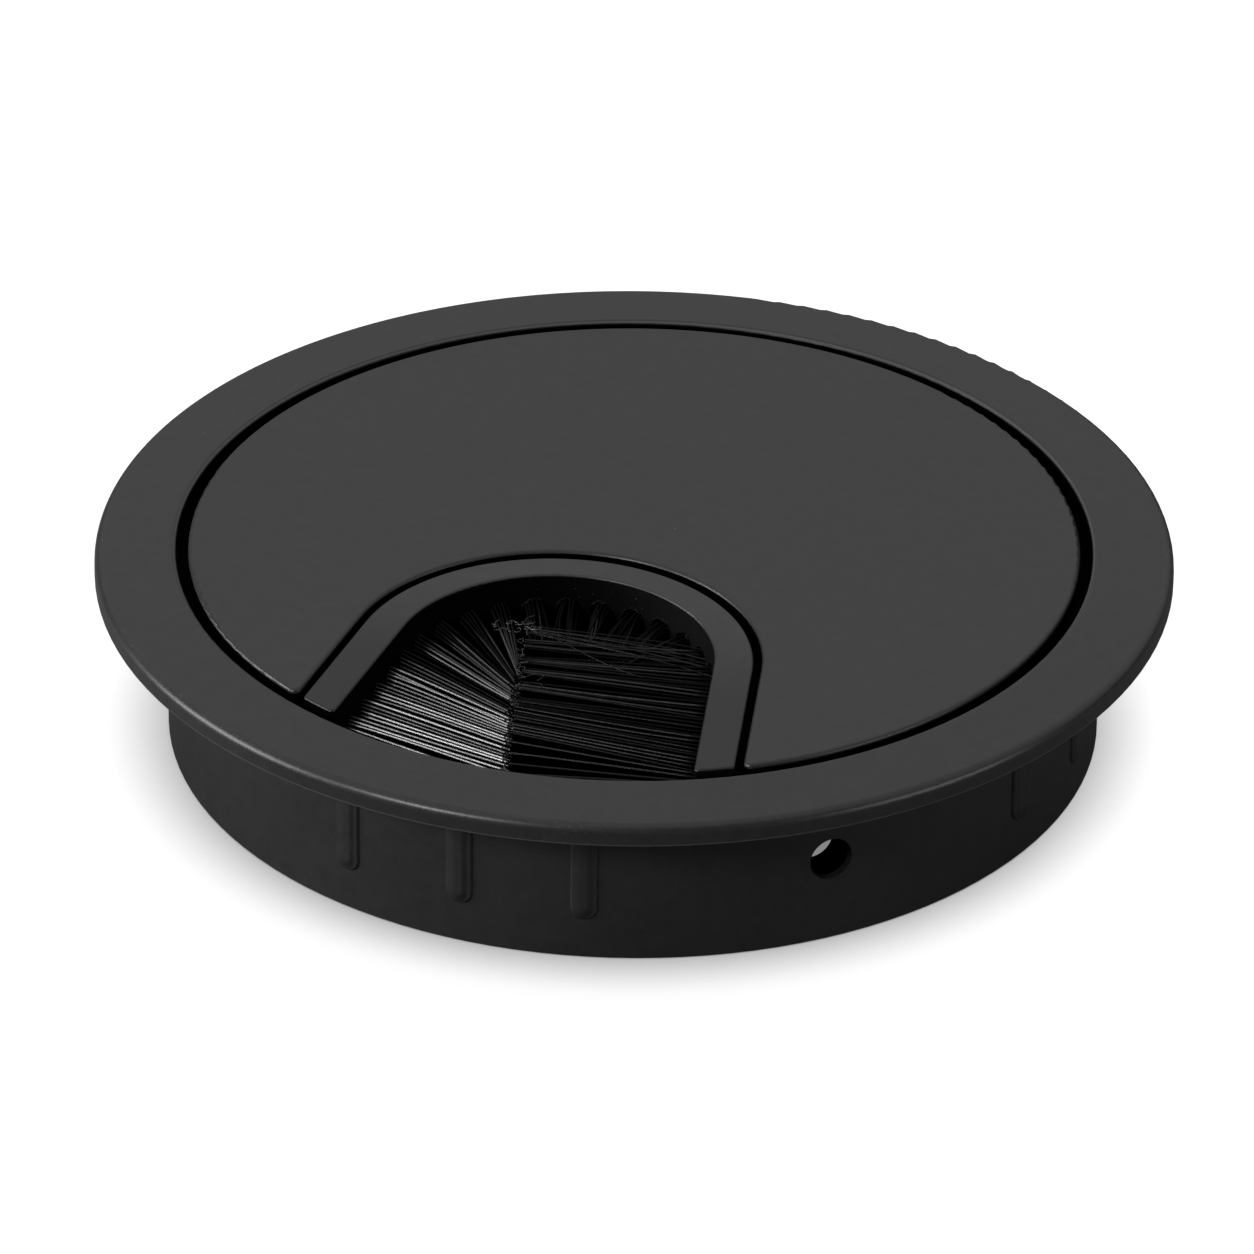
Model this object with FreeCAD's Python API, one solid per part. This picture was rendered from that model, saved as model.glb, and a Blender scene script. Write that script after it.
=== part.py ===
import FreeCAD
import Part
import math
import os

# Brush cable grommet for a round desk hole. +Z is up, the origin is in the middle of the
# sleeve's bottom edge, and the mouth of the brush opening points along -Y. Sizes in mm.

# Base ring
HOLE_DIAMETER = 80.0            # standard desk hole
HOLE_CLEARANCE = 0.15           # sleeve to desk hole, each side
TOTAL_HEIGHT = 17.0
SLEEVE_WALL = 2.5
SLEEVE_FOOT_CHAMFER = 0.15
FLANGE_DIAMETER = 92.0
FLANGE_THICKNESS = 2.4          # at the lid's recess
FLANGE_FALL = 0.5               # the flange's top falls this much out to its edge
FLANGE_TOP_RADIUS = 0.8
FLANGE_LOWER_RADIUS = 0.15
RECESS_EDGE_RADIUS = 0.5

# Screw holes and grip ribs of the sleeve
SCREW_ANGLE = 38.0              # from the mouth's direction, towards +X
SCREW_HEIGHT = 7.7
SCREW_DIAMETER = 3.8
SCREW_BOSS_DIAMETER = 8.4
SCREW_BOSS_DEPTH = 3.8          # wall at the screw, boss included
SCREW_COUNT = 2
RIB_WIDTH = 2.3
RIB_HEIGHT = 0.2                # takes up the clearance in the desk hole
RIB_FOOT_HEIGHT = 3.75
RIB_EDGE = 0.15
RIB_START_ANGLE = 30.2          # first rib on each side of a screw hole
RIB_PITCH_ANGLE = 15.4
RIBS_PER_SIDE = 3

# Lid
LID_DIAMETER = 76.0
LID_THICKNESS = 1.8
LID_GAP = 1.0                   # lid to recess wall
LID_EDGE_RADIUS = 0.35
LID_CORNER_RADIUS = 0.6
SKIRT_GAP = 0.5                 # skirt under the lid to the sleeve
SKIRT_WALL = 1.4
SKIRT_DEPTH = 3.0

# U-shaped brush frame
MOUTH_OFFSET = 2.1              # the mouth's middle line lies this far towards -X
ARC_DISTANCE = 20.1             # lid's middle to the centre of the U's arc
FRAME_INNER_RADIUS = 13.5
LEG_FLARE = 7.8                 # each leg opens outward by this angle
RIM_WIDTH = 3.4
RIM_THICKNESS = 1.4
RIM_GAP = 0.6                   # frame rim to the lid's cut-out
RIM_SHIFT = 0.5                 # the rim's outline lies this far forward, a wider gap at the back
FRAME_EDGE_RADIUS = 0.25
FRAME_CORNER_RADIUS = 0.4
FRAME_BODY_WALL = 2.6
FRAME_DEPTH = 7.2
LIP_CLEARANCE = 0.15            # frame body to the lip that carries it
LIP_THICKNESS = 1.2
LIP_ROOT = 1.3                  # lip's hold under the lid plate, past the cut-out
CATCH_WIDTH = 4.0
CATCH_DEPTH = 1.6
CATCH_REACH = 0.5
CATCH_PLAY = 0.05
ARC_CATCH_ANGLE = 45.0          # the arc's two catches, from the mouth's middle line

# Brush
TUFT_PITCH = 2.9
TUFT_DROP = 3.4                 # frame's top to the middle of the tufts
TUFT_END_MARGIN = 1.6           # first tuft to the end of a leg
TUFT_HOLE_DIAMETER = 2.2
TUFT_HOLE_DEPTH = 1.9
TUFT_HOLE_CLEARANCE = 0.12
TUFT_ROOT_REACH = 0.3           # folded root stands this far out of its hole
ROOT_SIDES = 8
BRISTLE_DIAMETER = 0.3
BRISTLE_SIDES = 4
BRISTLES_ACROSS = 6
BRISTLE_PITCH = 0.34
TIP_STEP = 0.55                 # neighbouring tufts lie this far over each other at their tips
TIP_LEVELS = 3
ROOT_RISE = 0.5                 # share of that rise that a tuft has at its root
TIP_GAP = 0.3                   # between tips across the seam
SEAM_LEAN = 10.3                # seam's turn from the mouth's middle line
RIGHT_SPREAD = 0.8              # spacing of the tips against that of the roots
LEFT_SPREAD = 0.84
LEFT_COMB = 5.6                 # left tips lie this far towards the mouth
FAN_SPREAD = 0.63               # spacing of the tips of the left arc's tufts
BACK_ANGLE = 40.0               # the arc's tufts past this angle lie behind the seam's end
BACK_FILL = 0.58                # share of their way to the seam that they fill

FLANGE_RADIUS = FLANGE_DIAMETER / 2
SLEEVE_RADIUS = HOLE_DIAMETER / 2 - HOLE_CLEARANCE
SLEEVE_BORE = SLEEVE_RADIUS - SLEEVE_WALL
LID_RADIUS = LID_DIAMETER / 2
RECESS_RADIUS = LID_RADIUS + LID_GAP
FLANGE_UNDERSIDE = TOTAL_HEIGHT - FLANGE_THICKNESS
LEDGE_HEIGHT = TOTAL_HEIGHT - LID_THICKNESS
SKIRT_RADIUS = SLEEVE_BORE - SKIRT_GAP
RIM_UNDERSIDE = TOTAL_HEIGHT - RIM_THICKNESS
LIP_UNDERSIDE = RIM_UNDERSIDE - LIP_THICKNESS
CUTOUT_GROWTH = RIM_WIDTH + RIM_GAP
LIP_GROWTH = FRAME_BODY_WALL + LIP_CLEARANCE
TUFT_HEIGHT = TOTAL_HEIGHT - TUFT_DROP
PAST = 1.0                      # cutters run this far past what they cut
TOUCHING = 0.0001               # closer than this counts as the same place

UP = FreeCAD.Vector(0, 0, 1)
ORIGIN = FreeCAD.Vector(0, 0, 0)
ARC_CENTRE = FreeCAD.Vector(-MOUTH_OFFSET, -ARC_DISTANCE, 0)


def rounded_outline(corners):
    """Closed outline in the XZ plane from (radius, height, rounding) corners."""
    points = [FreeCAD.Vector(radius, 0, height) for radius, height, rounding in corners]
    starts, ends, middles = [], [], []
    for index, (radius, height, rounding) in enumerate(corners):
        corner = points[index]
        back = (points[index - 1] - corner).normalize()
        ahead = (points[(index + 1) % len(points)] - corner).normalize()
        half = back.getAngle(ahead) / 2
        starts.append(corner + back * (rounding / math.tan(half)))
        ends.append(corner + ahead * (rounding / math.tan(half)))
        towards = (back + ahead).normalize()
        middles.append(corner + towards * (rounding / math.sin(half) - rounding))
    edges = []
    for index, (radius, height, rounding) in enumerate(corners):
        if rounding > 0:
            edges.append(Part.Arc(starts[index], middles[index], ends[index]).toShape())
        following = (index + 1) % len(corners)
        edges.append(Part.LineSegment(ends[index], starts[following]).toShape())
    return Part.Wire(edges)


def revolved(corners):
    """Solid of revolution about the vertical axis."""
    face = Part.Face(rounded_outline(corners))
    return face.revolve(ORIGIN, UP, 360)


def heading(angle):
    """Direction at an angle from the mouth's direction (-Y) towards +X."""
    return FreeCAD.Vector(math.sin(math.radians(angle)), -math.cos(math.radians(angle)), 0)


def disc(radius, low, high):
    """Upright cylinder about the lid's middle."""
    return Part.makeCylinder(radius, high - low, FreeCAD.Vector(0, 0, low))


def flare_direction(side):
    """Direction of a leg towards the mouth; side is 1 on the right and -1 on the left."""
    flare = math.radians(LEG_FLARE)
    return FreeCAD.Vector(side * math.sin(flare), -math.cos(flare), 0)


def leg_start(side, growth):
    """Where the arc of the U turns into a leg, with its wall moved out by growth."""
    flare = math.radians(LEG_FLARE)
    radius = FRAME_INNER_RADIUS + growth
    return ARC_CENTRE + FreeCAD.Vector(side * math.cos(flare), math.sin(flare), 0) * radius


def leg_length(side, growth, limit):
    """Length of a leg up to the circle of radius limit about the lid's middle."""
    start = leg_start(side, growth)
    along = start.dot(flare_direction(side))
    return -along + math.sqrt(along ** 2 - start.dot(start) + limit ** 2)


def mouth_prism(growth, low, high):
    """The U-shaped opening, with its wall moved out by growth, as a solid."""
    apex = ARC_CENTRE + FreeCAD.Vector(0, FRAME_INNER_RADIUS + growth, 0)
    right = leg_start(1, growth)
    left = leg_start(-1, growth)
    right_end = right + flare_direction(1) * FLANGE_RADIUS
    left_end = left + flare_direction(-1) * FLANGE_RADIUS
    outline = Part.Wire([
        Part.LineSegment(right_end, right).toShape(),
        Part.Arc(right, apex, left).toShape(),
        Part.LineSegment(left, left_end).toShape(),
        Part.LineSegment(left_end, right_end).toShape(),
    ])
    outline.translate(UP * low)
    return Part.Face(outline).extrude(UP * (high - low))


def u_band(inner_growth, outer_growth, low, high, limit, forward=0):
    """U-shaped wall between two growths, its ends on the circle of radius limit.

    forward moves the outer outline towards the mouth.
    """
    band = mouth_prism(outer_growth, low, high)
    band.translate(FreeCAD.Vector(0, -forward, 0))
    band = band.cut(mouth_prism(inner_growth, low - PAST, high + PAST))
    return band.common(disc(limit, low, high))


def upright_edges(shape):
    """Vertical edges of a shape."""
    return [edge for edge in shape.Edges
            if max(edge.BoundBox.XLength, edge.BoundBox.YLength) < TOUCHING]


def top_edges(shape):
    """Edges that lie in the top plane."""
    return [edge for edge in shape.Edges
            if edge.BoundBox.ZMin > TOTAL_HEIGHT - TOUCHING]


def sleeve_rib(angle):
    """One grip rib: an upright pad with a half-round foot and chamfered sides."""
    half = RIB_WIDTH / 2
    root = -(SLEEVE_RADIUS - SLEEVE_WALL / 2)
    crest = -(SLEEVE_RADIUS + RIB_HEIGHT)
    foot_centre = RIB_FOOT_HEIGHT + half
    right_top = FreeCAD.Vector(half, root, FLANGE_UNDERSIDE)
    right_foot = FreeCAD.Vector(half, root, foot_centre)
    left_top = FreeCAD.Vector(-half, root, FLANGE_UNDERSIDE)
    left_foot = FreeCAD.Vector(-half, root, foot_centre)
    outline = Part.Wire([
        Part.LineSegment(right_top, right_foot).toShape(),
        Part.Arc(right_foot, FreeCAD.Vector(0, root, RIB_FOOT_HEIGHT), left_foot).toShape(),
        Part.LineSegment(left_foot, left_top).toShape(),
        Part.LineSegment(left_top, right_top).toShape(),
    ])
    pad = Part.Face(outline).extrude(FreeCAD.Vector(0, crest - root, 0))
    crest_edges = [edge for edge in pad.Edges
                   if edge.BoundBox.YMax < crest / 2 + root / 2
                   and edge.BoundBox.ZMin < FLANGE_UNDERSIDE - RIB_EDGE]
    pad = pad.makeChamfer(RIB_EDGE, crest_edges)
    pad.rotate(ORIGIN, UP, angle)
    return pad


def rib_angles():
    """Headings of the ribs: a group on each side of every screw hole."""
    angles = []
    for screw in range(SCREW_COUNT):
        for step in range(RIBS_PER_SIDE):
            offset = RIB_START_ANGLE + step * RIB_PITCH_ANGLE
            angles.append(SCREW_ANGLE + screw * 360 / SCREW_COUNT + offset)
            angles.append(SCREW_ANGLE + screw * 360 / SCREW_COUNT - offset)
    return angles


def screw_boss(angle):
    """Flat-faced thickening inside the sleeve round a screw hole."""
    outward = heading(angle)
    start = outward * (SLEEVE_RADIUS - SCREW_BOSS_DEPTH) + UP * SCREW_HEIGHT
    return Part.makeCylinder(SCREW_BOSS_DIAMETER / 2, SCREW_BOSS_DEPTH - SLEEVE_WALL / 2, start, outward)


def screw_hole(angle):
    """Cutter for the hole through the sleeve and its boss."""
    outward = heading(angle)
    start = outward * (SLEEVE_RADIUS - SCREW_BOSS_DEPTH - PAST) + UP * SCREW_HEIGHT
    return Part.makeCylinder(SCREW_DIAMETER / 2, SCREW_BOSS_DEPTH + 2 * PAST, start, outward)


def base_ring():
    """Flange, sleeve, lid ledge, ribs and screw bosses as one moulding."""
    ring = revolved([
        (SLEEVE_BORE, 0, 0),
        (SLEEVE_RADIUS - SLEEVE_FOOT_CHAMFER, 0, 0),
        (SLEEVE_RADIUS, SLEEVE_FOOT_CHAMFER, 0),
        (SLEEVE_RADIUS, FLANGE_UNDERSIDE, 0),
        (FLANGE_RADIUS, FLANGE_UNDERSIDE, FLANGE_LOWER_RADIUS),
        (FLANGE_RADIUS, TOTAL_HEIGHT - FLANGE_FALL, FLANGE_TOP_RADIUS),
        (RECESS_RADIUS, TOTAL_HEIGHT, RECESS_EDGE_RADIUS),
        (RECESS_RADIUS, LEDGE_HEIGHT, 0),
        (SLEEVE_BORE, LEDGE_HEIGHT, 0),
    ])
    screws = [SCREW_ANGLE + index * 360 / SCREW_COUNT for index in range(SCREW_COUNT)]
    ring = ring.fuse([screw_boss(angle) for angle in screws] + [sleeve_rib(angle) for angle in rib_angles()])
    for angle in screws:
        ring = ring.cut(screw_hole(angle))
    return ring.removeSplitter()


def lid():
    """Round plate with the U cut-out, a skirt inside the sleeve and the frame's lip."""
    plate = disc(LID_RADIUS, LEDGE_HEIGHT, TOTAL_HEIGHT)
    plate = plate.cut(mouth_prism(CUTOUT_GROWTH, LEDGE_HEIGHT - PAST, TOTAL_HEIGHT + PAST))
    plate = plate.makeFillet(LID_CORNER_RADIUS, upright_edges(plate))
    plate = plate.makeFillet(LID_EDGE_RADIUS, top_edges(plate))
    skirt = disc(SKIRT_RADIUS, LEDGE_HEIGHT - SKIRT_DEPTH, LEDGE_HEIGHT)
    skirt = skirt.cut(disc(SKIRT_RADIUS - SKIRT_WALL, LEDGE_HEIGHT - SKIRT_DEPTH - PAST, LEDGE_HEIGHT + PAST))
    skirt = skirt.cut(mouth_prism(CUTOUT_GROWTH, LEDGE_HEIGHT - SKIRT_DEPTH - PAST, LEDGE_HEIGHT + PAST))
    lip = u_band(LIP_GROWTH, CUTOUT_GROWTH, LIP_UNDERSIDE, RIM_UNDERSIDE, SKIRT_RADIUS)
    lip_root = u_band(CUTOUT_GROWTH, CUTOUT_GROWTH + LIP_ROOT, LIP_UNDERSIDE, LEDGE_HEIGHT, SKIRT_RADIUS)
    return plate.fuse([skirt, lip, lip_root]).removeSplitter()


def frame_catch(point, outward):
    """Wedge under the lip that lets the frame snap down but not lift out."""
    top = LIP_UNDERSIDE - CATCH_PLAY
    across = UP.cross(outward)
    inner = point - outward * (FRAME_BODY_WALL / 2) - across * (CATCH_WIDTH / 2)
    wall = point - across * (CATCH_WIDTH / 2)
    tip = wall + outward * (CATCH_REACH + LIP_CLEARANCE)
    outline = Part.makePolygon([
        inner + UP * top, tip + UP * top, wall + UP * (top - CATCH_DEPTH),
        inner + UP * (top - CATCH_DEPTH), inner + UP * top,
    ])
    return Part.Face(outline).extrude(across * CATCH_WIDTH)


def frame_catches():
    """One catch on each leg and one on each half of the arc."""
    catches = []
    for side in (1, -1):
        outward = UP.cross(flare_direction(side)) * side
        middle = leg_start(side, FRAME_BODY_WALL) + flare_direction(side) * (
            leg_length(side, FRAME_BODY_WALL, SKIRT_RADIUS) / 2)
        catches.append(frame_catch(middle, outward))
        outward = heading(180 - side * ARC_CATCH_ANGLE)
        catches.append(frame_catch(ARC_CENTRE + outward * (FRAME_INNER_RADIUS + FRAME_BODY_WALL), outward))
    return catches


def wall_places():
    """Even tuft places along the frame's inner wall, right leg first: (point, inward)."""
    right = leg_length(1, 0, SKIRT_RADIUS)
    left = leg_length(-1, 0, SKIRT_RADIUS)
    flare = math.radians(LEG_FLARE)
    arc = FRAME_INNER_RADIUS * (math.pi - 2 * flare)
    usable = right + arc + left - 2 * TUFT_END_MARGIN
    count = int(usable / TUFT_PITCH) + 1
    first = TUFT_END_MARGIN + (usable - (count - 1) * TUFT_PITCH) / 2
    places = []
    for index in range(count):
        travel = first + index * TUFT_PITCH
        if travel < right:
            point = leg_start(1, 0) + flare_direction(1) * (right - travel)
            inward = flare_direction(1).cross(UP)
        elif travel < right + arc:
            turn = flare + (travel - right) / FRAME_INNER_RADIUS
            inward = FreeCAD.Vector(-math.cos(turn), -math.sin(turn), 0)
            point = ARC_CENTRE - inward * FRAME_INNER_RADIUS
        else:
            point = leg_start(-1, 0) + flare_direction(-1) * (travel - right - arc)
            inward = UP.cross(flare_direction(-1))
        places.append((point + UP * TUFT_HEIGHT, inward))
    return places


def brush_frame():
    """U-shaped insert: rim on the lid's lip, deep body and a row of tuft holes."""
    rim = u_band(0, RIM_WIDTH, RIM_UNDERSIDE, TOTAL_HEIGHT, LID_RADIUS, RIM_SHIFT)
    rim = rim.makeFillet(FRAME_CORNER_RADIUS, upright_edges(rim))
    rim = rim.makeFillet(FRAME_EDGE_RADIUS, top_edges(rim))
    body = u_band(0, FRAME_BODY_WALL, TOTAL_HEIGHT - FRAME_DEPTH, RIM_UNDERSIDE, SKIRT_RADIUS)
    frame = rim.fuse([body] + frame_catches())
    holes = [Part.makeCylinder(TUFT_HOLE_DIAMETER / 2, TUFT_HOLE_DEPTH + PAST, point + inward * PAST,
                               inward * -1) for point, inward in wall_places()]
    return frame.cut(holes).removeSplitter()


def seam_direction():
    """Direction of the seam of bristle tips, from the mouth to the back."""
    lean = math.radians(SEAM_LEAN)
    return FreeCAD.Vector(-math.sin(lean), math.cos(lean), 0)


def seam_point(depth):
    """Point of the seam at a Y coordinate."""
    front = FreeCAD.Vector(-MOUTH_OFFSET, -SKIRT_RADIUS, TUFT_HEIGHT)
    along = seam_direction()
    return front + along * ((depth - front.y) / along.y)


def seam_side(point):
    """1 right of the seam, -1 left of it."""
    return 1 if point.x > seam_point(point.y).x else -1


def tuft_aim(root):
    """Point on the seam that a tuft is combed towards."""
    from_arc = root.y - ARC_CENTRE.y
    if seam_side(root) > 0:
        return seam_point(ARC_CENTRE.y + RIGHT_SPREAD * from_arc)
    if from_arc < 0:
        return seam_point(ARC_CENTRE.y - LEFT_COMB + LEFT_SPREAD * from_arc)
    return seam_point(ARC_CENTRE.y - LEFT_COMB + FAN_SPREAD * from_arc)


def prism(start, end, diameter, sides):
    """Straight many-sided bar from start to end."""
    along = (end - start).normalize()
    across = along.cross(UP).normalize()
    upward = across.cross(along)
    corners = []
    for side in range(sides + 1):
        turn = 2 * math.pi * side / sides
        spoke = across * math.cos(turn) + upward * math.sin(turn)
        corners.append(start + spoke * (diameter / 2))
    return Part.Face(Part.makePolygon(corners)).extrude(end - start)


def tip_on_seam(start, direction):
    """Where a bristle meets its side of the seam, half the tip gap short of it."""
    along = seam_direction()
    normal = along.cross(UP) * seam_side(start)
    offset = (start - seam_point(start.y)).dot(normal) - TIP_GAP / 2
    return offset / -direction.dot(normal)


def tuft_fill(root):
    """Share of the way to the seam that a tuft fills: less behind the seam's end."""
    behind = ARC_CENTRE.y + FRAME_INNER_RADIUS * math.sin(math.radians(BACK_ANGLE))
    return BACK_FILL if seam_side(root) > 0 and root.y > behind else 1


def tuft(root, inward, rise):
    """Folded root in its hole and the bristles that reach from it to the seam."""
    plug = prism(root - inward * TUFT_HOLE_DEPTH, root + inward * TUFT_ROOT_REACH,
                 TUFT_HOLE_DIAMETER - 2 * TUFT_HOLE_CLEARANCE, ROOT_SIDES)
    along_wall = UP.cross(inward)
    front = root + inward * (TUFT_ROOT_REACH / 2) + UP * (rise * ROOT_RISE)
    aim = tuft_aim(root)
    across = UP.cross(aim - root).normalize()
    bristles = []
    for column in range(BRISTLES_ACROSS):
        spread = (column - (BRISTLES_ACROSS - 1) / 2) * BRISTLE_PITCH
        start = front + along_wall * spread
        course = aim + across * spread - start
        reach = min(tip_on_seam(start, course), 1) * tuft_fill(root)
        course.z = 0
        tip = start + course * reach + UP * (rise * (1 - ROOT_RISE))
        bristles.append(prism(start, tip, BRISTLE_DIAMETER, BRISTLE_SIDES))
    return plug.fuse(bristles).removeSplitter()


os.makedirs("parts", exist_ok=True)
base_ring().exportStep("parts/base_ring.step")
lid().exportStep("parts/lid.step")
brush_frame().exportStep("parts/brush_frame.step")
for index, (root, inward) in enumerate(wall_places()):
    rise = TIP_STEP * (index % TIP_LEVELS - (TIP_LEVELS - 1) / 2)
    tuft(root, inward, rise).exportStep("parts/tuft_%02d.step" % (index + 1))
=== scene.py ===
import math
import random
from collections import namedtuple

import bpy
from mathutils import Matrix, Vector


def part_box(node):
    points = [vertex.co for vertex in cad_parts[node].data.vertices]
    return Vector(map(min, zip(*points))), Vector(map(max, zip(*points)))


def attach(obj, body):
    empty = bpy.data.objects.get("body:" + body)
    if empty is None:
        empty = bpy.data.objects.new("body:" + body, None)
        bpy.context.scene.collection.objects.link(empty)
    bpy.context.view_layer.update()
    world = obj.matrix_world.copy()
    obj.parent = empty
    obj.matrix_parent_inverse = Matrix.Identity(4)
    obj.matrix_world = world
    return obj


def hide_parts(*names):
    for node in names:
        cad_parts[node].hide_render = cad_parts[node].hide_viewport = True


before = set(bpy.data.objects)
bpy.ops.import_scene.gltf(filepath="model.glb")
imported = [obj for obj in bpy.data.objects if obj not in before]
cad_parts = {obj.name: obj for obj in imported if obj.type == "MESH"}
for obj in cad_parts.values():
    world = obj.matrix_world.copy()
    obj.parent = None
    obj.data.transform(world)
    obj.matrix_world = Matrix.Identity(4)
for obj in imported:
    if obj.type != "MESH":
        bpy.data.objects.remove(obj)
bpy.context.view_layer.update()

bl_info = {
    "name": "Brush cable grommet",
    "version": (1, 0, 0),
    "blender": (4, 5, 0),
    "location": "3D View > Sidebar > Grommet",
    "description": "Finishes a desk cable grommet: plastic, a nylon brush and a pale studio",
    "category": "Object",
}

MM = 0.001
UP = Vector((0, 0, 1))
LAMP_DISTANCE = 1.6
FLOOR_REACH = 20.0
PLASTIC_IOR = 1.47
NYLON_IOR = 1.56
TUFT_NODES = sorted(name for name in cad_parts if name.startswith("tuft_"))


class PlasticSettings(bpy.types.PropertyGroup):
    """Black moulded plastic of the ring, the lid and the brush frame."""

    colour: bpy.props.FloatVectorProperty(
        name="Colour", description="Colour of the moulded plastic",
        subtype="COLOR", size=3, min=0, max=1, default=(0.024, 0.024, 0.0245))
    # The colour of the scuffs and specks, and also of the ring's painted edge highlights
    wear_and_highlight_colour: bpy.props.FloatVectorProperty(
        name="Worn colour", description="Colour of the scuffs and specks",
        subtype="COLOR", size=3, min=0, max=1, default=(0.15, 0.15, 0.15))
    roughness: bpy.props.FloatProperty(
        name="Roughness", description="How matte the moulded face is",
        subtype="FACTOR", min=0, max=1, default=0.38)
    grain_size: bpy.props.FloatProperty(
        name="Grain size", description="Size of the fine moulded grain",
        unit="LENGTH", min=0.00005, max=0.002, default=0.00022)
    grain_depth: bpy.props.FloatProperty(
        name="Grain depth", description="Height of the fine moulded grain",
        unit="LENGTH", min=0, max=0.0005, default=0.000008)
    patch_size: bpy.props.FloatProperty(
        name="Patch size", description="Size of the soft patches where the sheen changes",
        unit="LENGTH", min=0.001, max=0.1, default=0.012)
    specks: bpy.props.FloatProperty(
        name="Specks", description="Share of the cells that hold a pale speck",
        subtype="FACTOR", min=0, max=1, default=0.008)
    rib_relief: bpy.props.FloatProperty(
        name="Rib relief", description="Height that the shading adds to the grip ribs",
        unit="LENGTH", min=0, max=0.001, default=0.00025)


class BrushSettings(bpy.types.PropertyGroup):
    """Where the tufts stand in the frame and how their filaments run."""

    mouth_offset: bpy.props.FloatProperty(
        name="Mouth offset", description="The mouth's middle line lies this far to the left",
        unit="LENGTH", default=0.0021)
    arc_distance: bpy.props.FloatProperty(
        name="Arc distance", description="From the lid's middle to the arc's centre",
        unit="LENGTH", default=0.0201)
    inner_radius: bpy.props.FloatProperty(
        name="Inner radius", description="Radius of the frame's inner wall",
        unit="LENGTH", default=0.0135)
    leg_flare: bpy.props.FloatProperty(
        name="Leg flare", description="Each leg of the frame opens outward by this angle",
        subtype="ANGLE", default=math.radians(7.8))
    leg_limit: bpy.props.FloatProperty(
        name="Leg limit", description="Radius about the lid's middle at which the legs end",
        unit="LENGTH", default=0.03685)
    pitch: bpy.props.FloatProperty(
        name="Tuft pitch", description="Distance between the tuft holes along the wall",
        unit="LENGTH", default=0.0029)
    end_margin: bpy.props.FloatProperty(
        name="End margin", description="From the end of a leg to its first tuft, at least",
        unit="LENGTH", default=0.0016)
    drop: bpy.props.FloatProperty(
        name="Tuft drop", description="From the frame's top down to the middle of the tufts",
        unit="LENGTH", default=0.0034)
    seam_lean: bpy.props.FloatProperty(
        name="Seam lean", description="Turn of the seam from the mouth's middle line",
        subtype="ANGLE", default=math.radians(10.3))
    filament: bpy.props.FloatProperty(
        name="Filament diameter", description="Diameter of one filament",
        unit="LENGTH", min=0.00005, max=0.001, default=0.00017)
    spacing: bpy.props.FloatProperty(
        name="Filament spacing", description="Distance between the filaments at the root",
        unit="LENGTH", min=0.0001, max=0.001, default=0.00033)
    rows: bpy.props.IntProperty(
        name="Rows", description="Rows on each side of a tuft's middle row",
        min=1, max=5, default=2)
    depth: bpy.props.IntProperty(
        name="Depth", description="Filaments in a row on each side of its middle one",
        min=1, max=5, default=3)
    seed: bpy.props.IntProperty(
        name="Seed", description="Another number bends the filaments another way", default=7)
    colour: bpy.props.FloatVectorProperty(
        name="Filament colour", description="Colour of the filaments",
        subtype="COLOR", size=3, min=0, max=1, default=(0.016, 0.016, 0.0165))
    curl_colour: bpy.props.FloatVectorProperty(
        name="Curl colour", description="Colour of the frayed ends",
        subtype="COLOR", size=3, min=0, max=1, default=(0.03, 0.03, 0.03))
    roughness: bpy.props.FloatProperty(
        name="Filament roughness", description="How dull the drawn nylon is",
        subtype="FACTOR", min=0, max=1, default=0.25)


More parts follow.
